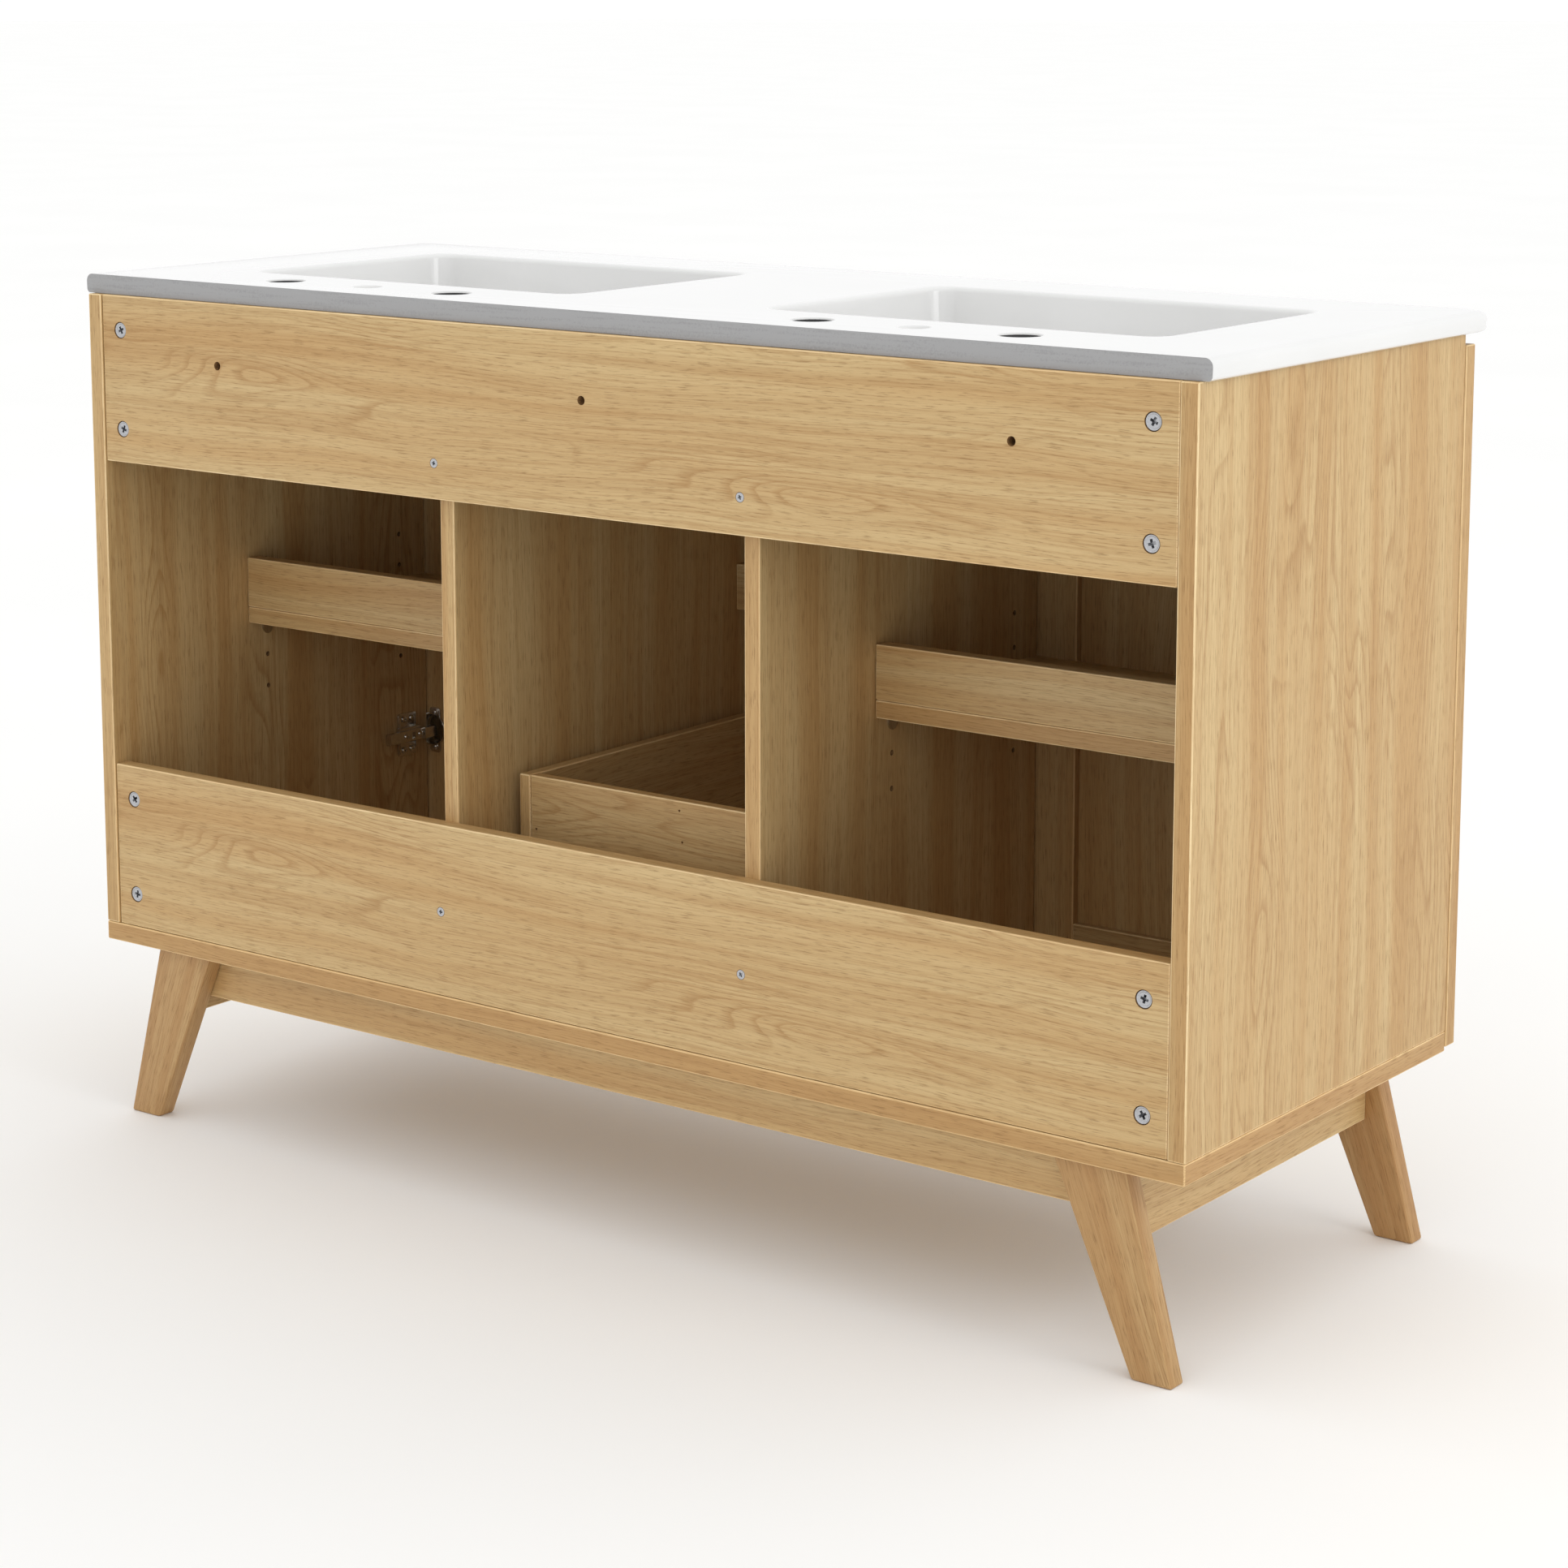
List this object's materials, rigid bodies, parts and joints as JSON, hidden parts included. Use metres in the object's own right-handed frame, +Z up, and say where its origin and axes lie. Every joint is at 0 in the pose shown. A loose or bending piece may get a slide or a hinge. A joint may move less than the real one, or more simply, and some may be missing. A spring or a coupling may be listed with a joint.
{
  "type": "bathroom vanity cabinet",
  "caption": "Free-standing double-basin vanity: ceramic top, oak-look board carcass with open back, hinged doors, drawer, shelves and splayed tapered legs.",
  "frame": {"origin": "on the floor, at the centre of the whole object's box", "axes": "+X to the right as seen from the front (the doors' side), +Y towards the wall, +Z up"},
  "size_m": [1.216, 0.482, 0.814],
  "materials": {
    "oak_laminate": "satin oak-grain laminate on board",
    "glazed_ceramic": "glossy white glaze, bare matt grey rear edge",
    "zinc": "die-cast zinc, cross recess",
    "nickel": "nickel-plated pressed steel",
    "slide_steel": "zinc-plated rolled steel",
    "brass": "satin brass"
  },
  "bodies": {
    "carcass": {"bottom_panel": "oak_laminate", "back_rail_upper": "oak_laminate", "back_rail_lower": "oak_laminate", "front_rail_top": "oak_laminate", "front_rail_middle": "oak_laminate", "false_front": "oak_laminate", "apron_rear": "oak_laminate", "apron_front": "oak_laminate", "side_panel_left": "oak_laminate", "divider_left": "oak_laminate", "shelf_left": "oak_laminate", "shelf_upstand_left": "oak_laminate", "leg_rear_left": "oak_laminate", "leg_front_left": "oak_laminate", "apron_left": "oak_laminate", "side_panel_right": "oak_laminate", "divider_right": "oak_laminate", "shelf_right": "oak_laminate", "shelf_upstand_right": "oak_laminate", "leg_rear_right": "oak_laminate", "leg_front_right": "oak_laminate", "apron_right": "oak_laminate", "ceramic_top": "glazed_ceramic", "cam_lock_upper_left_1": "zinc", "cam_lock_upper_left_2": "zinc", "cam_lock_upper_right_1": "zinc", "cam_lock_upper_right_2": "zinc", "cam_lock_lower_left_1": "zinc", "cam_lock_lower_left_2": "zinc", "cam_lock_lower_right_1": "zinc", "cam_lock_lower_right_2": "zinc", "screw_upper_left": "zinc", "screw_upper_right": "zinc", "screw_lower_left": "zinc", "screw_lower_right": "zinc", "hinge_arm_left_lower": "nickel", "hinge_arm_left_upper": "nickel", "hinge_arm_right_lower": "nickel", "hinge_arm_right_upper": "nickel", "slide_cabinet_left": "slide_steel", "slide_cabinet_right": "slide_steel"},
    "door_left": {"door_frame_left": "oak_laminate", "door_panel_left": "oak_laminate", "hinge_cup_left_lower": "nickel", "hinge_cup_left_upper": "nickel", "knob_door_left": "brass"},
    "door_right": {"door_frame_right": "oak_laminate", "door_panel_right": "oak_laminate", "hinge_cup_right_lower": "nickel", "hinge_cup_right_upper": "nickel", "knob_door_right": "brass"},
    "drawer": {"drawer_front": "oak_laminate", "drawer_back": "oak_laminate", "drawer_bottom": "oak_laminate", "drawer_side_left": "oak_laminate", "drawer_side_right": "oak_laminate", "slide_drawer_left": "slide_steel", "slide_drawer_right": "slide_steel", "knob_drawer": "brass"}
  },
  "joints": [
    {"name": "door_left_hinge", "type": "hinge", "parent": "carcass", "child": "door_left", "pos_m": [-0.6, -0.209, 0.48], "axis": [0, 0, -1], "range_deg": [0, 105]},
    {"name": "door_right_hinge", "type": "hinge", "parent": "carcass", "child": "door_right", "pos_m": [0.6, -0.209, 0.48], "axis": [0, 0, 1], "range_deg": [0, 105]},
    {"name": "drawer_slide", "type": "slide", "parent": "carcass", "child": "drawer", "axis": [0, -1, 0], "range_m": [0, 0.26]}
  ]
}
